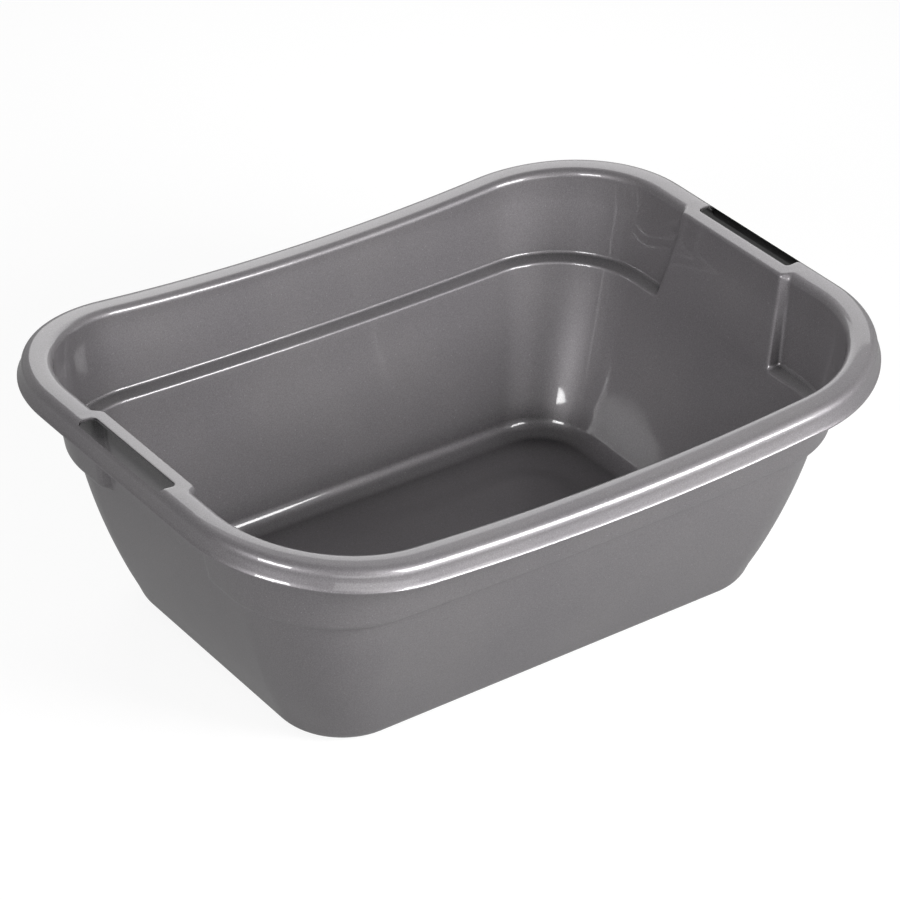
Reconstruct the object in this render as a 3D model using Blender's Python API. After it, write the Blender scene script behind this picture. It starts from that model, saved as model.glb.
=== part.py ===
# Household tub: one thin-walled plastic moulding with two finger slots in its rim.
# Metres, +Z up. X runs along the long sides, Y along the short sides, and the
# tub stands on Z = 0 with its middle over the origin.
import math

import bmesh
import bpy
from mathutils import Vector

# Overall size
tub_length = 0.560
tub_width = 0.407
rim_height = 0.1848
rim_rise = 0.0200
rim_corner_radius = 0.113
wall_thickness = 0.0022

# Rim: a lip hanging from a rounded shoulder, then a flat band, then the inner edge
skirt_height = 0.0172
skirt_flare = 0.0028
shoulder_radius = 0.0075
rim_width = 0.0190
inner_edge_radius = 0.0058

# Upper wall and the ledge under it
ledge_depth = 0.0575
ledge_rise = 0.0080
upper_wall_taper = 0.0087
ledge_width = 0.0087
ledge_drop = 0.0037
ledge_fillet = 0.0032

# Handle bays: the wall runs straight up behind each finger slot
bay_depth = 0.0094
bay_edge_radius = 0.0028
bay_length = 0.110
bay_step = 0.0060
bay_lean = 0.0084

# Finger slots cut through the rim
slot_length = 0.1010
slot_inset = 0.0045
slot_width = 0.0142
slot_corner_radius = 0.0035

# Lower wall and base
base_length = 0.3915
base_width = 0.2580
base_corner_radius = 0.0500
base_fillet = 0.0190
wall_bow_share = 0.36

# Floor with a slightly raised middle
panel_inset = 0.0380
panel_slope_width = 0.0210
panel_rise = 0.0020
panel_outer_corner_radius = 0.0430
panel_inner_corner_radius = 0.0220

# How far cutters run past what they cut
cut_overrun = 0.0020

# Facets in each rounded stretch
corner_steps = 12
long_side_steps = 8
bay_middle_steps = 4
bay_step_steps = 5
shoulder_steps = 5
inner_edge_steps = 4
ledge_fillet_steps = 3
lower_wall_steps = 4
base_fillet_steps = 5
slot_corner_steps = 4

half_length = tub_length / 2
half_width = tub_width / 2


def clear_scene():
    for thing in list(bpy.data.objects):
        bpy.data.objects.remove(thing, do_unlink=True)


def blend(low, high, share):
    return low + (high - low) * share


def ease(share):
    """Goes from nothing to all with level ends."""
    return share * share * (3 - 2 * share)


def rounded(before, corner, after, radius, steps):
    """Points of an arc that rounds off a corner of a profile."""
    back = (before - corner).normalized()
    on = (after - corner).normalized()
    half_angle = back.angle(on) / 2
    middle = (back + on).normalized()
    centre = corner + middle * (radius / math.sin(half_angle))
    start = corner + back * (radius / math.tan(half_angle)) - centre
    end = corner + on * (radius / math.tan(half_angle)) - centre
    sweep = start.angle(end)
    points = []
    for step in range(steps + 1):
        share = step / steps
        first = math.sin((1 - share) * sweep) / math.sin(sweep)
        last = math.sin(share * sweep) / math.sin(sweep)
        points.append(centre + start * first + end * last)
    return points


def rim_profile(edge_inset, edge_radius):
    """The lip, shoulder, flat band and inner edge as (inset, height) points."""
    points = [Vector((0, rim_height - skirt_height))]
    for step in range(shoulder_steps + 1):
        angle = math.radians(90) * step / shoulder_steps
        inset = skirt_flare + shoulder_radius * (1 - math.cos(angle))
        drop = shoulder_radius * (1 - math.sin(angle))
        points.append(Vector((inset, rim_height - drop)))
    for step in range(inner_edge_steps + 1):
        angle = math.radians(90) * step / inner_edge_steps
        inset = edge_inset + edge_radius * math.sin(angle)
        drop = edge_radius * (1 - math.cos(angle))
        points.append(Vector((inset, rim_height - drop)))
    return points


def lower_wall_point(base_inset, share):
    """A point of the inside of the lower wall, from the floor (0) up to the ledge (1)."""
    top = ledge_inset() + ledge_width
    bowed = share + wall_bow_share * share * (1 - share)
    height = blend(wall_thickness, rim_height - ledge_depth - ledge_drop, share)
    return Vector((blend(base_inset, top, bowed), height))


def ledge_inset():
    return rim_width + inner_edge_radius + upper_wall_taper


def inner_base_inset(outer_base_inset):
    """Where the inside of the wall meets the top of the floor."""
    run = outer_base_inset - ledge_inset() - ledge_width
    fall = rim_height - ledge_depth - ledge_drop
    slope = math.atan2(run * (1 + wall_bow_share), fall)
    return outer_base_inset + wall_thickness * (1 / math.cos(slope) - math.tan(slope))


def wall_profile(base_inset):
    """The inside from the rim's inner edge down to the floor."""
    edge_end = Vector((rim_width + inner_edge_radius, rim_height - inner_edge_radius))
    ledge_back = Vector((ledge_inset(), rim_height - ledge_depth))
    ledge_front = lower_wall_point(base_inset, 1)
    points = rounded(edge_end, ledge_back, ledge_front, ledge_fillet, ledge_fillet_steps)
    first = lower_wall_point(base_inset, 1 - 1 / lower_wall_steps)
    points += rounded(ledge_back, ledge_front, first, ledge_fillet, ledge_fillet_steps)
    for step in range(1, lower_wall_steps):
        points.append(lower_wall_point(base_inset, 1 - step / lower_wall_steps))
    corner = lower_wall_point(base_inset, 0)
    floor_ahead = corner + Vector((base_fillet, 0))
    inner_fillet = base_fillet - wall_thickness
    points += rounded(points[-1], corner, floor_ahead, inner_fillet, base_fillet_steps)
    return points


def panel_profile(outer_base_inset):
    """The edge of the raised floor, outer and inner line."""
    outer = outer_base_inset + panel_inset
    return [
        Vector((outer, wall_thickness)),
        Vector((outer + panel_slope_width, wall_thickness + panel_rise)),
    ]


def bay_profile(normal):
    """The same number of points as the normal profile, with no ledge in it."""
    rim_count = len(rim_profile(rim_width, inner_edge_radius))
    ledge_end = rim_count + 2 * (ledge_fillet_steps + 1) - 1
    points = rim_profile(rim_width + bay_depth, bay_edge_radius)
    top = points[-1]
    bottom = normal[ledge_end]
    for index in range(rim_count, len(normal)):
        point = normal[index]
        if index < ledge_end:
            share = (top.y - point.y) / (top.y - bottom.y)
            point = Vector((blend(top.x, bottom.x, share), point.y))
        points.append(point)
    return points


def level_radii(short_profile, long_profile):
    """The corner radius in plan at each level of the profile."""
    rim_count = len(rim_profile(rim_width, inner_edge_radius))
    ledge_end = rim_count + 2 * (ledge_fillet_steps + 1) - 1
    wall_end = ledge_end + lower_wall_steps
    ledge_level = rim_height - ledge_depth - ledge_drop
    radii = []
    for index, (short, long) in enumerate(zip(short_profile, long_profile)):
        inset = (short.x + long.x) / 2
        if index <= ledge_end:
            radius = rim_corner_radius - inset
            ledge_radius = radius
        elif index <= wall_end:
            share = (short.y - wall_thickness) / (ledge_level - wall_thickness)
            radius = blend(base_corner_radius, ledge_radius, share)
            last = (radius, inset)
        else:
            radius = last[0] - (inset - last[1])
        radii.append(radius)
    radii[-2:] = [panel_outer_corner_radius, panel_inner_corner_radius]
    return radii


def level_rises(profile):
    """How much each level climbs from the middle to the ends of the tub."""
    rim_count = len(rim_profile(rim_width, inner_edge_radius))
    ledge_level = rim_height - ledge_depth
    rises = []
    for index, point in enumerate(profile):
        if index < rim_count:
            rises.append(rim_rise)
        else:
            share = (point.y - wall_thickness) / (ledge_level - wall_thickness)
            rises.append(ledge_rise * min(1, max(0, share)) ** 2)
    rises[-2:] = [0, 0]
    return rises


def bay_stations():
    """Places along a short side at rim level, with how much of the bay each one has."""
    half_bay = bay_length / 2
    stations = []
    for step in range(bay_middle_steps + 1):
        stations.append((blend(-half_bay, half_bay, step / bay_middle_steps), 1))
    for step in range(1, bay_step_steps + 1):
        share = step / bay_step_steps
        reach = half_bay + bay_step * share
        stations.append((reach, 1 - ease(share)))
        stations.insert(0, (-reach, 1 - ease(share)))
    return stations


def leaned(place, depth_share):
    """The bay grows wider towards the ledge."""
    half_bay = bay_length / 2
    return place + bay_lean * depth_share * max(-1, min(1, place / half_bay))


class Level:
    """One closed line around the tub, at one point of the profile."""

    def __init__(self, short, long, bay, radius, rise, wall_straight):
        self.a = half_length - short.x
        self.b = half_width - long.x
        self.bay_a = half_length - bay.x
        self.radius = radius
        self.rise = rise
        self.short_height = short.y
        self.long_height = long.y
        self.bay_height = bay.y
        self.straight = self.b - radius
        self.side_scale = min(1, self.straight / wall_straight)
        self.depth_share = min(1, max(0, (rim_height - short.y) / ledge_depth))

    def lifted(self, x, y, height):
        return Vector((x, y, height + self.rise * (x / half_length) ** 2))

    def corner(self, x_side, y_side, angle):
        x = self.a - self.radius + self.radius * math.cos(angle)
        y = self.b - self.radius + self.radius * math.sin(angle)
        height = blend(self.long_height, self.short_height, math.cos(angle) ** 2)
        return self.lifted(x_side * x, y_side * y, height)

    def long_side(self, y_side, share):
        return self.lifted((self.a - self.radius) * share, y_side * self.b, self.long_height)

    def short_side(self, x_side, place, bay_share):
        y = leaned(place, self.depth_share) * self.side_scale
        x = blend(self.a, self.bay_a, bay_share)
        height = blend(self.short_height, self.bay_height, bay_share)
        return self.lifted(x_side * x, y, height)

    def points(self):
        """All points of the line, anticlockwise seen from above."""
        quarter = [math.radians(90) * step / corner_steps for step in range(corner_steps + 1)]
        bays = bay_stations()
        shares = [1 - 2 * step / long_side_steps for step in range(1, long_side_steps)]
        line = [self.corner(1, 1, angle) for angle in quarter]
        line += [self.long_side(1, share) for share in shares]
        line += [self.corner(-1, 1, angle) for angle in reversed(quarter)]
        line += [self.short_side(-1, place, share) for place, share in reversed(bays)]
        line += [self.corner(-1, -1, angle) for angle in quarter]
        line += [self.long_side(-1, -share) for share in shares]
        line += [self.corner(1, -1, angle) for angle in reversed(quarter)]
        line += [self.short_side(1, place, share) for place, share in bays]
        return line


def tub_levels():
    short_base = (tub_length - base_length) / 2
    long_base = (tub_width - base_width) / 2
    short_profile = rim_profile(rim_width, inner_edge_radius) + wall_profile(inner_base_inset(short_base))
    short_profile += panel_profile(short_base)
    long_profile = rim_profile(rim_width, inner_edge_radius) + wall_profile(inner_base_inset(long_base))
    long_profile += panel_profile(long_base)
    bay = bay_profile(short_profile)
    radii = level_radii(short_profile, long_profile)
    rises = level_rises(short_profile)
    wall_straight = half_width - long_profile[-3].x - radii[-3]
    levels = []
    for index in range(len(short_profile)):
        levels.append(Level(
            short_profile[index],
            long_profile[index],
            bay[index],
            radii[index],
            rises[index],
            wall_straight,
        ))
    return levels


def new_object(name, mesh):
    thing = bpy.data.objects.new(name, mesh)
    bpy.context.scene.collection.objects.link(thing)
    return thing


def make_skin():
    """The inside and top face of the tub as an open sheet, from the lip to the floor."""
    shape = bmesh.new()
    rows = []
    for level in tub_levels():
        rows.append([shape.verts.new(point) for point in level.points()])
    count = len(rows[0])
    for upper, lower in zip(rows, rows[1:]):
        for index in range(count):
            after = (index + 1) % count
            shape.faces.new((upper[index], lower[index], lower[after], upper[after]))
    centre = shape.verts.new((0, 0, wall_thickness + panel_rise))
    for index in range(count):
        after = (index + 1) % count
        shape.faces.new((rows[-1][index], centre, rows[-1][after]))
    bmesh.ops.recalc_face_normals(shape, faces=shape.faces)
    if centre.link_faces[0].normal.z < 0:
        bmesh.ops.reverse_faces(shape, faces=shape.faces)
    mesh = bpy.data.meshes.new("tub")
    shape.to_mesh(mesh)
    shape.free()
    mesh.shade_smooth()
    return mesh


def slot_outline():
    """The finger slot in plan, as (inset from the tub's end, place across)."""
    radius = slot_corner_radius
    near = slot_inset + radius
    far = slot_inset + slot_width - radius
    side = slot_length / 2 - radius
    corners = [(far, side, 0), (near, side, 90), (near, -side, 180), (far, -side, 270)]
    points = []
    for inset, across, start in corners:
        for step in range(slot_corner_steps + 1):
            angle = math.radians(start + 90 * step / slot_corner_steps)
            points.append((inset + radius * math.cos(angle), across + radius * math.sin(angle)))
    return points


def make_slot_cutter(name, x_side):
    """A block with rounded corners that runs down through the rim's flat band."""
    rim_end = rim_height + rim_rise
    top = rim_end + cut_overrun
    bottom = rim_height - shoulder_radius
    shape = bmesh.new()
    upper = []
    lower = []
    for inset, across in slot_outline():
        x = x_side * (half_length - inset)
        upper.append(shape.verts.new((x, across, top)))
        lower.append(shape.verts.new((x, across, bottom)))
    shape.faces.new(upper)
    shape.faces.new(lower)
    for index in range(len(upper)):
        after = (index + 1) % len(upper)
        shape.faces.new((upper[index], upper[after], lower[after], lower[index]))
    bmesh.ops.recalc_face_normals(shape, faces=shape.faces)
    mesh = bpy.data.meshes.new(name)
    shape.to_mesh(mesh)
    shape.free()
    cutter = new_object(name, mesh)
    cutter.hide_render = True
    cutter.display_type = "WIRE"
    return cutter


def make_tub_plastic():
    material = bpy.data.materials.new("graphite gloss plastic")
    material.use_nodes = True
    shader = material.node_tree.nodes["Principled BSDF"]
    shader.inputs["Base Color"].default_value = (0.135, 0.129, 0.133, 1)
    shader.inputs["Roughness"].default_value = 0.28
    shader.inputs["Metallic"].default_value = 0
    return material


def make_tub():
    tub = new_object("tub", make_skin())
    tub.data.materials.append(make_tub_plastic())
    wall = tub.modifiers.new("Wall", "SOLIDIFY")
    wall.thickness = wall_thickness
    wall.offset = -1
    wall.use_even_offset = True
    wall.use_quality_normals = True
    for name, x_side in (("slot cutter left", -1), ("slot cutter right", 1)):
        cut = tub.modifiers.new(name, "BOOLEAN")
        cut.operation = "DIFFERENCE"
        cut.solver = "EXACT"
        cut.object = make_slot_cutter(name, x_side)
    return tub


clear_scene()
make_tub()
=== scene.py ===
"""Looks of a household wash tub: one glossy graphite moulding on a pale studio floor."""
import math

import bmesh
import bpy
from mathutils import Matrix, Vector


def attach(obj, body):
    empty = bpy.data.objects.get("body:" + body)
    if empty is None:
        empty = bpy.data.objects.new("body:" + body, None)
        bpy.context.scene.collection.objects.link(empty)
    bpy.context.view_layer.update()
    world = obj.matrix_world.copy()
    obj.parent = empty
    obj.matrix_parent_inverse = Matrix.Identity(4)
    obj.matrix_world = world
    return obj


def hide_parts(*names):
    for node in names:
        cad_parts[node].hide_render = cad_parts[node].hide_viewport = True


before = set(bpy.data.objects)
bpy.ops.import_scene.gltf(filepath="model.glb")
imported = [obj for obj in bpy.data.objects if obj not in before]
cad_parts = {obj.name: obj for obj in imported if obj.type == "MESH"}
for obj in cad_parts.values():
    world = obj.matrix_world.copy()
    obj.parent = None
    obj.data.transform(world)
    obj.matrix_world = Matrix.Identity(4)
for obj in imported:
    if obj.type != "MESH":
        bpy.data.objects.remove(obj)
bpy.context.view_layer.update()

# The tub moulding: floor, walls, ledge, rim and both grips, all one piece of polypropylene.
# It is injected in one shot, so one wall runs from the hanging lip over the rim, down past
# the ledge and under the floor, and every edge of it is rounded.
tub_length = 0.560
tub_width = 0.407
rim_height = 0.1848
rim_rise = 0.0200
rim_corner_radius = 0.113
wall_thickness = 0.0022
skirt_height = 0.0172
skirt_flare = 0.0028
lip_band = 0.0010
lip_step = 0.0004
shoulder_radius = 0.0075
shoulder_sweep = math.radians(85)
rim_width = 0.0190
band_crown = 0.0006
inner_edge_radius = 0.0058
ledge_depth = 0.0575
ledge_rise = 0.0080
upper_wall_taper = 0.0087
ledge_width = 0.0087
ledge_drop = 0.0037
ledge_fillet = 0.0032
bay_depth = 0.0082
bay_edge_radius = 0.0024
bay_length = 0.110
bay_step = 0.0050
bay_step_radius = 0.0044
bay_lean = 0.0084
base_length = 0.3915
base_width = 0.2580
base_corner_radius = 0.0500
base_fillet = 0.0190
wall_bow_share = 0.36
foot_share = 0.25
panel_inset = 0.0380
panel_slope_width = 0.0210
panel_rise = 0.0020
panel_outer_corner_radius = 0.0430
panel_inner_corner_radius = 0.0220

half_length = tub_length / 2
half_width = tub_width / 2
half_bay = bay_length / 2

skirt_steps = 3
shoulder_steps = 14
band_steps = 8
inner_edge_steps = 12
upper_wall_steps = 8
ledge_fillet_steps = 8
lower_wall_steps = 14
foot_steps = 3
base_fillet_steps = 14
panel_steps = 8
corner_steps = 44
long_side_steps = 28
bay_middle_steps = 22
bay_edge_steps = 7
short_side_steps = 5


def blend(low, high, share):
    return low + (high - low) * share


def ease(share):
    """Goes from nothing to all with level ends."""
    return share * share * (3 - 2 * share)


def rounded(before, corner, after, radius, steps):
    """Points of an arc that rounds off a corner of a line."""
    back = (before - corner).normalized()
    on = (after - corner).normalized()
    half_angle = back.angle(on) / 2
    middle = (back + on).normalized()
    centre = corner + middle * (radius / math.sin(half_angle))
    start = corner + back * (radius / math.tan(half_angle)) - centre
    end = corner + on * (radius / math.tan(half_angle)) - centre
    sweep = start.angle(end)
    points = []
    for step in range(steps + 1):
        share = step / steps
        first = math.sin((1 - share) * sweep) / math.sin(sweep)
        last = math.sin(share * sweep) / math.sin(sweep)
        points.append(centre + start * first + end * last)
    return points


def straight(start, end, steps):
    """Points between two others, both ends left out."""
    return [start.lerp(end, step / steps) for step in range(1, steps)]


def rim_profile(edge_inset, edge_radius):
    """The lip, shoulder, flat band and inner edge, as (inset, height) points."""
    lip_end = rim_height - skirt_height
    lip = [Vector((0, lip_end)), Vector((0, lip_end + lip_band))]
    lip.append(Vector((lip_step, lip_end + lip_band + lip_step)))
    shoulder = []
    for step in range(shoulder_steps + 1):
        angle = shoulder_sweep * step / shoulder_steps
        inset = skirt_flare + shoulder_radius * (1 - math.cos(angle))
        drop = band_crown + shoulder_radius * (math.sin(shoulder_sweep) - math.sin(angle))
        shoulder.append(Vector((inset, rim_height - drop)))
    edge = []
    for step in range(inner_edge_steps + 1):
        angle = math.radians(90) * step / inner_edge_steps
        inset = edge_inset + edge_radius * math.sin(angle)
        edge.append(Vector((inset, rim_height - edge_radius * (1 - math.cos(angle)))))
    skirt = lip + straight(lip[-1], shoulder[0], skirt_steps)
    band = straight(shoulder[-1], edge[0], band_steps)
    for step, point in enumerate(band, 1):
        point.y = rim_height - band_crown * (1 - step / band_steps) ** 2
    return skirt + shoulder + band + edge


ledge_inset = rim_width + inner_edge_radius + upper_wall_taper
ledge_level = rim_height - ledge_depth - ledge_drop


def inner_base_inset(outer_base_inset):
    """Where the inside of the wall meets the top of the floor."""
    run = outer_base_inset - ledge_inset - ledge_width
    slope = math.atan2(run * (1 + wall_bow_share), ledge_level)
    return outer_base_inset + wall_thickness * (1 / math.cos(slope) - math.tan(slope))


def lower_wall_point(base_inset, share):
    """A point of the inside of the lower wall, from the floor (0) up to the ledge (1)."""
    bowed = share + wall_bow_share * share * (1 - share)
    inset = blend(base_inset, ledge_inset + ledge_width, bowed)
    return Vector((inset, blend(wall_thickness, ledge_level, share)))


def wall_profile(outer_base_inset):
    """The inside from the rim's inner edge down to the floor and its raised middle."""
    base_inset = inner_base_inset(outer_base_inset)
    edge_end = Vector((rim_width + inner_edge_radius, rim_height - inner_edge_radius))
    ledge_back = Vector((ledge_inset, rim_height - ledge_depth))
    ledge_front = lower_wall_point(base_inset, 1)
    first = lower_wall_point(base_inset, blend(1, foot_share, 1 / lower_wall_steps))
    upper = rounded(edge_end, ledge_back, ledge_front, ledge_fillet, ledge_fillet_steps)
    lower = rounded(ledge_back, ledge_front, first, ledge_fillet, ledge_fillet_steps)
    points = straight(edge_end, upper[0], upper_wall_steps) + upper + lower
    for step in range(1, lower_wall_steps + 1):
        points.append(lower_wall_point(base_inset, blend(1, foot_share, step / lower_wall_steps)))
    corner = lower_wall_point(base_inset, 0)
    floor_ahead = corner + Vector((base_fillet, 0))
    inner_fillet = base_fillet - wall_thickness
    fillet = rounded(points[-1], corner, floor_ahead, inner_fillet, base_fillet_steps)
    points += straight(points[-1], fillet[0], foot_steps) + fillet
    for step in range(panel_steps + 1):
        share = step / panel_steps
        inset = outer_base_inset + panel_inset + panel_slope_width * share
        points.append(Vector((inset, wall_thickness + panel_rise * ease(share))))
    return points


rim_count = len(rim_profile(rim_width, inner_edge_radius))
ledge_end = rim_count + upper_wall_steps - 1 + 2 * (ledge_fillet_steps + 1) - 1
wall_end = ledge_end + lower_wall_steps + foot_steps - 1
floor_start = wall_end + base_fillet_steps + 1


def bay_profile(normal):
    """The wall behind a finger slot: as many points as the normal profile, and no ledge."""
    points = rim_profile(rim_width + bay_depth, bay_edge_radius)
    top = points[-1]
    bottom = normal[ledge_end]
    for index, point in enumerate(normal[rim_count:], rim_count):
        if index < ledge_end:
            share = (top.y - point.y) / (top.y - bottom.y)
            point = Vector((blend(top.x, bottom.x, share), point.y))
        points.append(point)
    return points


def level_radius(index, end, side):
    """The corner radius in plan at one level of the profile."""
    if index <= ledge_end:
        return rim_corner_radius - (end[index].x + side[index].x) / 2
    if index <= wall_end:
        share = (end[index].y - wall_thickness) / (ledge_level - wall_thickness)
        return blend(base_corner_radius, level_radius(ledge_end, end, side), share)
    if index <= floor_start:
        inset = (end[index].x + side[index].x - end[wall_end].x - side[wall_end].x) / 2
        return level_radius(wall_end, end, side) - inset
    share = (index - floor_start - 1) / panel_steps
    return blend(panel_outer_corner_radius, panel_inner_corner_radius, share)


def level_climb(index, point):
    """How much a level climbs from the middle to the ends of the tub."""
    if index < rim_count:
        return rim_rise
    if index > floor_start:
        return 0
    share = (point.y - wall_thickness) / (rim_height - ledge_depth - wall_thickness)
    return ledge_rise * min(1, max(0, share)) ** 2


def level_facts():
    """For each level: its insets, heights, corner radius, climb, lean of the bay and narrowing."""
    end = rim_profile(rim_width, inner_edge_radius) + wall_profile((tub_length - base_length) / 2)
    side = rim_profile(rim_width, inner_edge_radius) + wall_profile((tub_width - base_width) / 2)
    bay = bay_profile(end)
    wall_straight = half_width - side[floor_start].x - level_radius(floor_start, end, side)
    facts = []
    for index in range(len(end)):
        radius = level_radius(index, end, side)
        depth_share = min(1, max(0, (rim_height - end[index].y) / ledge_depth))
        narrowing = min(1, (half_width - side[index].x - radius) / wall_straight)
        facts.append({
            "level_inset": (end[index].x, side[index].x, bay[index].x),
            "level_height": (end[index].y, side[index].y, bay[index].y),
            "level_shape": (radius, level_climb(index, end[index]), bay_lean * depth_share),
            "level_narrowing": narrowing,
        })
    return facts


def short_side_places():
    """Places on half a short side, from its middle outwards.

    Each is its share of the way to the corner, its place in the bay, its share of the bay's
    lean and how deep the bay is there.
    """
    inner = Vector((half_bay, bay_depth))
    outer = Vector((half_bay + bay_step, 0))
    line = rounded(Vector((0, bay_depth)), inner, outer, bay_step_radius, bay_edge_steps)
    line += rounded(inner, outer, outer + Vector((bay_step, 0)), bay_step_radius, bay_edge_steps)
    places = []
    for step in range(bay_middle_steps):
        place = line[0].x * step / bay_middle_steps
        places.append((0, place, place / half_bay, 1))
    for point in line:
        places.append((0, point.x, min(1, point.x / half_bay), point.y / bay_depth))
    for step in range(1, short_side_steps):
        share = step / short_side_steps
        places.append((share, line[-1].x * (1 - share), 1 - share, 0))
    return places


def station_facts():
    """For each place round the tub, anticlockwise: its core, its turn and its place in the bay."""
    facts = []

    def add_station(along, across, turn, bay=(0, 0, 0)):
        facts.append({"station_core": (along, across, math.radians(turn)), "station_bay": bay})

    def add_corner(along, across, turn):
        for step in range(corner_steps + 1):
            add_station(along, across, turn + 90 * step / corner_steps)

    def add_long_side(across, turn):
        for step in range(1, long_side_steps):
            add_station(across * (1 - 2 * step / long_side_steps), across, turn)

    def add_short_side(along, turn):
        half = short_side_places()
        for share, place, lean, depth in reversed(half[1:]):
            add_station(along, -along * share, turn, (-along * place, -along * lean, depth))
        for share, place, lean, depth in half:
            add_station(along, along * share, turn, (along * place, along * lean, depth))

    add_corner(1, 1, 0)
    add_long_side(1, 90)
    add_corner(-1, 1, 90)
    add_short_side(-1, 180)
    add_corner(-1, -1, 180)
    add_long_side(-1, 270)
    add_corner(1, -1, 270)
    add_short_side(1, 0)
    return facts


def make_flat_sheet():
    """The flat sheet that the moulding starts from: rings of points that know their place."""
    levels = level_facts()
    stations = station_facts()
    count = len(stations)
    shape = bmesh.new()
    for _ in range(len(levels) * count + 1):
        shape.verts.new()
    shape.verts.ensure_lookup_table()
    for row in range(len(levels) - 1):
        for index in range(count):
            after = (index + 1) % count
            ring = [row * count + index, row * count + after]
            ring += [(row + 1) * count + after, (row + 1) * count + index]
            shape.faces.new([shape.verts[number] for number in ring])
    last = (len(levels) - 1) * count
    for index in range(count):
        after = last + (index + 1) % count
        shape.faces.new([shape.verts[last + index], shape.verts[after], shape.verts[-1]])
    mesh = bpy.data.meshes.new("tub_moulding")
    shape.to_mesh(mesh)
    shape.free()
    floor_height = levels[-1]["level_height"][0]
    centre = {
        "level_inset": (half_length, half_width, half_length),
        "level_height": (floor_height, floor_height, floor_height),
        "level_shape": (0, 0, 0),
        "level_narrowing": 0,
        "station_core": (0, 0, 0),
        "station_bay": (0, 0, 0),
    }
    for name, value in centre.items():
        one_number = name == "level_narrowing"
        layer = mesh.attributes.new(name, "FLOAT" if one_number else "FLOAT_VECTOR", "POINT")
        values = []
        for level in levels:
            for station in stations:
                fact = level[name] if name in level else station[name]
                values += [fact] if one_number else fact
        values += [value] if one_number else value
        layer.data.foreach_set("value" if one_number else "vector", values)
    return mesh


def add_node(tree, kind, links=None, **settings):
    """Adds a node with its settings, its inputs filled with values or other nodes' outputs."""
    node = tree.nodes.new(kind)
    for name, value in settings.items():
        setattr(node, name, value)
    for name, value in (links or {}).items():
        if isinstance(value, bpy.types.Node):
            value = value.outputs[0]
        if isinstance(value, bpy.types.NodeSocket):
            tree.links.new(value, node.inputs[name])
        else:
            node.inputs[name].default_value = value
    return node


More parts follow.
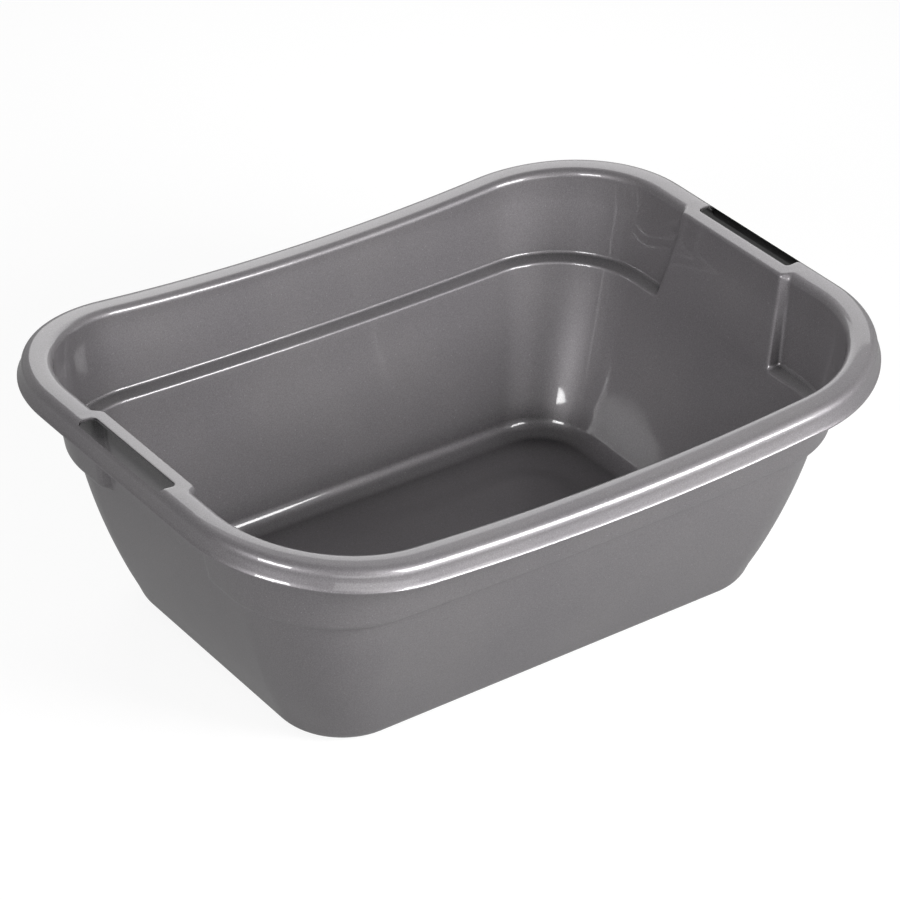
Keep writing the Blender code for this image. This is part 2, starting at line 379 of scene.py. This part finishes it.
def make_moulding_tree():
    """Geometry nodes that carry each point of the flat sheet to its place in the tub."""
    tree = bpy.data.node_groups.new("moulding", "GeometryNodeTree")
    for name, kind in (
        ("Sheet", "Geometry"),
        ("Half Length", "Float"),
        ("Half Width", "Float"),
        ("Plastic", "Material"),
    ):
        tree.interface.new_socket(name=name, in_out="INPUT", socket_type="NodeSocket" + kind)
    tree.interface.new_socket(name="Tub", in_out="OUTPUT", socket_type="NodeSocketGeometry")
    given = add_node(tree, "NodeGroupInput").outputs

    facts = []
    for name in ("level_inset", "level_height", "level_shape", "station_core", "station_bay"):
        kind = "GeometryNodeInputNamedAttribute"
        fact = add_node(tree, kind, {"Name": name}, data_type="FLOAT_VECTOR")
        facts.append(add_node(tree, "ShaderNodeSeparateXYZ", {0: fact}).outputs)
    (
        (end_inset, side_inset, bay_inset),
        (end_height, side_height, bay_height),
        (radius, climb, lean),
        (along, across, turn),
        (place, lean_share, bay_share),
    ) = facts
    narrowing = add_node(tree, "GeometryNodeInputNamedAttribute", {"Name": "level_narrowing"})
    cosine = add_node(tree, "ShaderNodeMath", {0: turn}, operation="COSINE")
    sine = add_node(tree, "ShaderNodeMath", {0: turn}, operation="SINE")

    # A level is a core rectangle with an arc of the corner radius round each of its corners.
    # The bay cuts into it along the tub, and its ends lean as they go down.
    links = {0: given["Half Length"], 1: end_inset}
    level_half_length = add_node(tree, "ShaderNodeMath", links, operation="SUBTRACT")
    links = {0: level_half_length, 1: radius}
    core_half_length = add_node(tree, "ShaderNodeMath", links, operation="SUBTRACT")
    links = {0: bay_inset, 1: end_inset}
    bay_reach = add_node(tree, "ShaderNodeMath", links, operation="SUBTRACT")
    links = {0: bay_share, 1: bay_reach}
    bay_cut = add_node(tree, "ShaderNodeMath", links, operation="MULTIPLY")
    links = {0: radius, 1: bay_cut}
    cut_radius = add_node(tree, "ShaderNodeMath", links, operation="SUBTRACT")
    links = {0: cosine, 1: cut_radius}
    reach = add_node(tree, "ShaderNodeMath", links, operation="MULTIPLY")
    links = {0: along, 1: core_half_length, 2: reach}
    x = add_node(tree, "ShaderNodeMath", links, operation="MULTIPLY_ADD")

    links = {0: given["Half Width"], 1: side_inset}
    level_half_width = add_node(tree, "ShaderNodeMath", links, operation="SUBTRACT")
    links = {0: level_half_width, 1: radius}
    core_half_width = add_node(tree, "ShaderNodeMath", links, operation="SUBTRACT")
    links = {0: lean, 1: lean_share, 2: place}
    leaning_place = add_node(tree, "ShaderNodeMath", links, operation="MULTIPLY_ADD")
    links = {0: leaning_place, 1: narrowing}
    bay_place = add_node(tree, "ShaderNodeMath", links, operation="MULTIPLY")
    links = {0: sine, 1: radius, 2: bay_place}
    reach = add_node(tree, "ShaderNodeMath", links, operation="MULTIPLY_ADD")
    links = {0: across, 1: core_half_width, 2: reach}
    y = add_node(tree, "ShaderNodeMath", links, operation="MULTIPLY_ADD")

    # The height goes from the long sides' level to the short sides' and to the bay's, and
    # climbs with the square of the way from the middle of the tub to its ends.
    links = {0: cosine, 1: cosine}
    end_share = add_node(tree, "ShaderNodeMath", links, operation="MULTIPLY")
    links = {0: end_height, 1: side_height}
    end_lift = add_node(tree, "ShaderNodeMath", links, operation="SUBTRACT")
    links = {0: end_share, 1: end_lift, 2: side_height}
    plain_height = add_node(tree, "ShaderNodeMath", links, operation="MULTIPLY_ADD")
    links = {0: bay_height, 1: end_height}
    bay_lift = add_node(tree, "ShaderNodeMath", links, operation="SUBTRACT")
    links = {0: bay_share, 1: bay_lift, 2: plain_height}
    height = add_node(tree, "ShaderNodeMath", links, operation="MULTIPLY_ADD")
    links = {0: x, 1: given["Half Length"]}
    way = add_node(tree, "ShaderNodeMath", links, operation="DIVIDE")
    links = {0: way, 1: way}
    way_squared = add_node(tree, "ShaderNodeMath", links, operation="MULTIPLY")
    links = {0: climb, 1: way_squared, 2: height}
    z = add_node(tree, "ShaderNodeMath", links, operation="MULTIPLY_ADD")

    position = add_node(tree, "ShaderNodeCombineXYZ", {0: x, 1: y, 2: z})
    links = {"Geometry": given["Sheet"], "Position": position}
    tub = add_node(tree, "GeometryNodeSetPosition", links)
    tub = add_node(tree, "GeometryNodeRealizeInstances", {"Geometry": tub})
    links = {"Geometry": tub, "Material": given["Plastic"]}
    tub = add_node(tree, "GeometryNodeSetMaterial", links)
    add_node(tree, "NodeGroupOutput", {"Tub": tub})
    return tree


# The finger slots go through the flat band at both ends of the rim, for lifting the tub. The
# mould shuts each one off with a steel block with rounded corners, and their edges are eased.
slot_length = 0.1010
slot_inset = 0.0045
slot_width = 0.0142
slot_corner_radius = 0.0035
slot_corner_steps = 10
slot_overrun = 0.0020
slot_edge_radius = 0.0007
slot_edge_angle = math.radians(38)
slot_edge_segments = 2


def make_slot_block(name, end):
    """A block that cuts one finger slot through the rim's flat band."""
    near = slot_inset + slot_corner_radius
    far = slot_inset + slot_width - slot_corner_radius
    side = slot_length / 2 - slot_corner_radius
    rim_top = rim_height + rim_rise
    shape = bmesh.new()
    corners = ((far, side, 0), (near, side, 90), (near, -side, 180), (far, -side, 270))
    line = []
    for inset, across, start in corners:
        for step in range(slot_corner_steps + 1):
            angle = math.radians(start + 90 * step / slot_corner_steps)
            x = half_length - inset - slot_corner_radius * math.cos(angle)
            y = across + slot_corner_radius * math.sin(angle)
            line.append((end * x, y))
    upper = [shape.verts.new((x, y, rim_top + slot_overrun)) for x, y in line]
    lower = [shape.verts.new((x, y, rim_top - shoulder_radius - skirt_height)) for x, y in line]
    shape.faces.new(upper)
    shape.faces.new(lower)
    for index in range(len(line)):
        after = (index + 1) % len(line)
        shape.faces.new((upper[index], upper[after], lower[after], lower[index]))
    bmesh.ops.recalc_face_normals(shape, faces=shape.faces)
    mesh = bpy.data.meshes.new(name)
    shape.to_mesh(mesh)
    shape.free()
    return bpy.data.objects.new(name, mesh)


# Polypropylene coloured graphite with fine aluminium flake, moulded against polished steel.
# The flake lies in the plastic, so the eye sees a soft metallic grey with small bright specks,
# under a smooth surface that mirrors lamps as crisp white shapes.
plastic_colour = "#797678"
plastic_deep_colour = "#737073"
flow_length = 0.090
flow_low = 0.35
flow_high = 0.65
# The specks and the grain are drawn coarser than the real flake, so that they show.
flake_colour = "#bab7ba"
flake_spacing = 0.0011
flake_rarity = 0.97
flake_strength = 0.5
flake_edge = 0.45
flake_core = 0.15
grain_length = 0.0008
grain_strength = 0.20
grain_low = 0.3
grain_high = 0.7
least_roughness = 0.42
most_roughness = 0.52
metal_look = 0.5
plastic_ior = 1.49
skin_roughness = 0.06
skin_ripple_length = 0.030
skin_ripple_height = 0.00006
# Painted shade: hardly any light gets in behind the slots, so the colour is painted down
# to black where the plastic closes off most of the air within this width.
hollow_width = 0.060
open_air_black = 0.64
open_air_full = 0.80
open_air_rays = 8


def linear(code):
    """An sRGB hex colour as the linear colour that a shader takes."""
    channels = [int(code[place:place + 2], 16) / 255 for place in (1, 3, 5)]
    return (*[c / 12.92 if c <= 0.04045 else ((c + 0.055) / 1.055) ** 2.4 for c in channels], 1)


def make_flake_plastic():
    material = bpy.data.materials.new("moulded flake polypropylene")
    material.use_nodes = True
    tree = material.node_tree
    tree.nodes.clear()
    place = add_node(tree, "ShaderNodeTexCoord").outputs["Object"]
    flow = add_node(
        tree, "ShaderNodeTexNoise",
        {"Vector": place, "Scale": 1 / flow_length, "Detail": 2},
    )
    tint = add_node(
        tree, "ShaderNodeMapRange",
        {"Value": flow, "From Min": flow_low, "From Max": flow_high},
    )
    links = {0: tint, 6: linear(plastic_deep_colour), 7: linear(plastic_colour)}
    body = add_node(tree, "ShaderNodeMix", links, data_type="RGBA").outputs[2]
    flake = add_node(
        tree, "ShaderNodeTexVoronoi",
        {"Vector": place, "Scale": 1 / flake_spacing},
    )
    turned = add_node(tree, "ShaderNodeSeparateXYZ", {0: flake.outputs["Color"]})
    lit = add_node(
        tree, "ShaderNodeMapRange",
        {"Value": turned, "From Min": flake_rarity, "From Max": 1, "To Max": flake_strength},
    )
    core = add_node(
        tree, "ShaderNodeMapRange",
        {"Value": flake.outputs["Distance"], "From Min": flake_edge, "From Max": flake_core},
    )
    speck = add_node(tree, "ShaderNodeMath", {0: lit, 1: core}, operation="MULTIPLY")
    grain = add_node(
        tree, "ShaderNodeTexNoise",
        {"Vector": place, "Scale": 1 / grain_length, "Detail": 1},
    )
    sheen = add_node(
        tree, "ShaderNodeMapRange",
        {"Value": grain, "From Min": grain_low, "From Max": grain_high, "To Max": grain_strength},
    )
    links = {0: sheen, 6: body, 7: linear(flake_colour)}
    grained = add_node(tree, "ShaderNodeMix", links, data_type="RGBA").outputs[2]
    links = {0: speck, 6: grained, 7: linear(flake_colour)}
    speckled = add_node(tree, "ShaderNodeMix", links, data_type="RGBA").outputs[2]
    # Painted shade: the colour is taken down towards black where little of the air round the
    # plastic is open.
    open_air = add_node(
        tree, "ShaderNodeAmbientOcclusion", {"Distance": hollow_width},
        samples=open_air_rays, only_local=True,
    ).outputs["AO"]
    painted_shade_factor = add_node(
        tree, "ShaderNodeMapRange",
        {"Value": open_air, "From Min": open_air_black, "From Max": open_air_full},
    )
    links = {0: painted_shade_factor, 6: (0, 0, 0, 1), 7: speckled}
    colour_with_painted_shade = add_node(tree, "ShaderNodeMix", links, data_type="RGBA").outputs[2]
    rough = add_node(
        tree, "ShaderNodeMapRange",
        {"Value": grain, "To Min": least_roughness, "To Max": most_roughness},
    )
    ripple = add_node(
        tree, "ShaderNodeTexNoise",
        {"Vector": place, "Scale": 1 / skin_ripple_length, "Detail": 1},
    )
    skin = add_node(tree, "ShaderNodeBump", {"Height": ripple, "Distance": skin_ripple_height})
    shader = add_node(tree, "ShaderNodeBsdfPrincipled", {
        "Base Color": colour_with_painted_shade,
        "Metallic": metal_look,
        "Roughness": rough,
        "IOR": plastic_ior,
        "Coat Weight": 1.0,
        "Coat Roughness": skin_roughness,
        "Coat IOR": plastic_ior,
        "Normal": skin,
        "Coat Normal": skin,
    })
    add_node(tree, "ShaderNodeOutputMaterial", {"Surface": shader})
    return material


def plain_copy(thing, name):
    """A plain mesh of what an object's modifiers make, in an object of its own."""
    graph = bpy.context.evaluated_depsgraph_get()
    mesh = bpy.data.meshes.new_from_object(thing.evaluated_get(graph), depsgraph=graph)
    mesh.name = name
    copy = bpy.data.objects.new(name, mesh)
    bpy.context.scene.collection.objects.link(copy)
    return copy


def set_inputs(modifier, values):
    for socket in modifier.node_group.interface.items_tree:
        if socket.name in values:
            modifier[socket.identifier] = values[socket.name]


flake_plastic = make_flake_plastic()
sheet = bpy.data.objects.new("flat_sheet", make_flat_sheet())
bpy.context.scene.collection.objects.link(sheet)
moulding = sheet.modifiers.new("Moulding", "NODES")
moulding.node_group = make_moulding_tree()
set_inputs(moulding, {
    "Half Length": half_length,
    "Half Width": half_width,
    "Plastic": flake_plastic,
})
wall = sheet.modifiers.new("Wall", "SOLIDIFY")
wall.thickness = wall_thickness
wall.offset = -1
wall.use_even_offset = True
wall.use_quality_normals = True
blocks = [make_slot_block("slot_block_left", -1), make_slot_block("slot_block_right", 1)]
for block in blocks:
    bpy.context.scene.collection.objects.link(block)
    cut = sheet.modifiers.new(block.name, "BOOLEAN")
    cut.operation = "DIFFERENCE"
    cut.solver = "EXACT"
    cut.object = block
edges = sheet.modifiers.new("Edges", "BEVEL")
edges.width = slot_edge_radius
edges.segments = slot_edge_segments
edges.limit_method = "ANGLE"
edges.angle_limit = slot_edge_angle
edges.harden_normals = False
tub = plain_copy(sheet, "tub_moulding")
for thing in [sheet, *blocks]:
    bpy.data.objects.remove(thing, do_unlink=True)
tub.data.shade_smooth()
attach(tub, "root")
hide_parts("tub")

# The studio floor: one broad sheet of pale card that the tub stands on. Most of its paleness
# is a glow that shows in full to the camera and in part in the tub's gloss. The rest comes
# from the lamps, so that the card keeps the tub's soft shadow.
floor_size = 6.0
floor_colour = "#787878"
floor_glow = 0.85
floor_gap = 0.0002
mirrored_share = 0.2
card_roughness = 0.85
card_gloss = 0.2
# The tooth is drawn coarser than that of real card, so that it shows.
card_tooth_length = 0.0011
card_tooth_height = 0.00005


def make_seen_share(tree):
    """One for the rays that show a background to the eye, itself or in a reflection."""
    rays = add_node(tree, "ShaderNodeLightPath").outputs
    links = {0: rays["Is Glossy Ray"], 1: mirrored_share}
    mirrored = add_node(tree, "ShaderNodeMath", links, operation="MULTIPLY")
    links = {0: rays["Is Camera Ray"], 1: mirrored}
    shown = add_node(tree, "ShaderNodeMath", links, operation="MAXIMUM")
    links = {0: shown, 1: rays["Is Transmission Ray"]}
    return add_node(tree, "ShaderNodeMath", links, operation="MAXIMUM")


def make_floor_card():
    material = bpy.data.materials.new("pale studio card")
    material.use_nodes = True
    tree = material.node_tree
    tree.nodes.clear()
    place = add_node(tree, "ShaderNodeTexCoord").outputs["Object"]
    tooth = add_node(
        tree, "ShaderNodeTexNoise",
        {"Vector": place, "Scale": 1 / card_tooth_length, "Detail": 2},
    )
    bump = add_node(tree, "ShaderNodeBump", {"Height": tooth, "Distance": card_tooth_height})
    links = {0: make_seen_share(tree), 1: floor_glow}
    glow = add_node(tree, "ShaderNodeMath", links, operation="MULTIPLY")
    shader = add_node(tree, "ShaderNodeBsdfPrincipled", {
        "Base Color": linear(floor_colour),
        "Roughness": card_roughness,
        "Specular IOR Level": card_gloss,
        "Normal": bump,
        "Emission Color": (1, 1, 1, 1),
        "Emission Strength": glow,
    })
    add_node(tree, "ShaderNodeOutputMaterial", {"Surface": shader})
    return material


card = bmesh.new()
reach = floor_size / 2
corners = [(-reach, -reach), (reach, -reach), (reach, reach), (-reach, reach)]
card.faces.new([card.verts.new((x, y, -floor_gap)) for x, y in corners])
floor_mesh = bpy.data.meshes.new("floor")
card.to_mesh(floor_mesh)
card.free()
floor_mesh.materials.append(make_floor_card())
floor = bpy.data.objects.new("floor", floor_mesh)
bpy.context.scene.collection.objects.link(floor)

# The light: two soft boxes stand beside the camera, a broad weak one lies low in front, a
# panel leans in from behind, and a faint backdrop closes the far side. The room is dim.
# Each lamp has its place, width, height and power.
room_strength = 0.05
backdrop_strength = 0.40
backdrop_way = (0.61, 0.79, 0.0)
backdrop_edge = -0.1
backdrop_full = 0.6
soft_boxes = {
    "left_soft_box": ((-1.83, -0.81, 1.00), 0.74, 0.70, 29.0),
    "right_soft_box": ((0.38, -1.01, 0.66), 0.58, 0.44, 15.5),
    "front_fill": ((-0.09, -1.15, 0.30), 1.30, 0.40, 3.2),
    "back_panel": ((0.64, 0.84, 0.72), 1.10, 0.56, 3.3),
}

world = bpy.data.worlds.new("white studio")
world.use_nodes = True
tree = world.node_tree
tree.nodes.clear()
way = add_node(tree, "ShaderNodeTexCoord").outputs["Generated"]
links = {0: way, 1: backdrop_way}
ahead = add_node(tree, "ShaderNodeVectorMath", links, operation="DOT_PRODUCT")
dim = add_node(tree, "ShaderNodeMapRange", {
    "Value": ahead.outputs["Value"],
    "From Min": backdrop_edge,
    "From Max": backdrop_full,
    "To Min": room_strength,
    "To Max": room_strength + backdrop_strength,
})
rays = add_node(tree, "ShaderNodeLightPath").outputs
links = {0: rays["Is Camera Ray"], 1: rays["Is Transmission Ray"]}
seen = add_node(tree, "ShaderNodeMath", links, operation="MAXIMUM")
sky = add_node(tree, "ShaderNodeMath", {0: seen, 1: dim}, operation="MAXIMUM")
background = add_node(tree, "ShaderNodeBackground", {"Color": (1, 1, 1, 1), "Strength": sky})
add_node(tree, "ShaderNodeOutputWorld", {"Surface": background})
bpy.context.scene.world = world

rim_middle = Vector((0, 0, rim_height))
for name, (place, width, height, power) in soft_boxes.items():
    lamp = bpy.data.lights.new(name, "AREA")
    lamp.shape = "RECTANGLE"
    lamp.size = width
    lamp.size_y = height
    lamp.energy = power
    box = bpy.data.objects.new(name, lamp)
    box.location = place
    box.rotation_euler = (rim_middle - Vector(place)).to_track_quat("-Z", "Y").to_euler()
    bpy.context.scene.collection.objects.link(box)

# The camera stands where the photographer stood, with a long lens, above the near left
# corner of the tub. Its place was fitted to the tub's outline in the photograph.
camera_turn = math.radians(-37.44)
camera_tilt = math.radians(32.44)
camera_roll = math.radians(2.05)
camera_distance = 2.6037
camera_drop = 0.0628
camera_sideways = -0.0002
lens_length = 149.27
sensor_width = 36.0
view_reach = 50.0

back = Vector((
    math.sin(camera_turn) * math.cos(camera_tilt),
    -math.cos(camera_turn) * math.cos(camera_tilt),
    math.sin(camera_tilt),
))
right = Vector((math.cos(camera_turn), math.sin(camera_turn), 0))
up = back.cross(right)
rolled_right = right * math.cos(camera_roll) + up * math.sin(camera_roll)
rolled_up = up * math.cos(camera_roll) - right * math.sin(camera_roll)
lens = bpy.data.cameras.new("camera")
lens.lens = lens_length
lens.sensor_width = sensor_width
lens.clip_end = view_reach
camera = bpy.data.objects.new("camera", lens)
stand = rim_middle + back * camera_distance + right * camera_sideways - up * camera_drop
facing = Matrix((rolled_right, rolled_up, back)).transposed().to_4x4()
camera.matrix_world = Matrix.Translation(stand) @ facing
bpy.context.scene.collection.objects.link(camera)
bpy.context.scene.camera = camera

bpy.context.scene.view_settings.view_transform = "Standard"
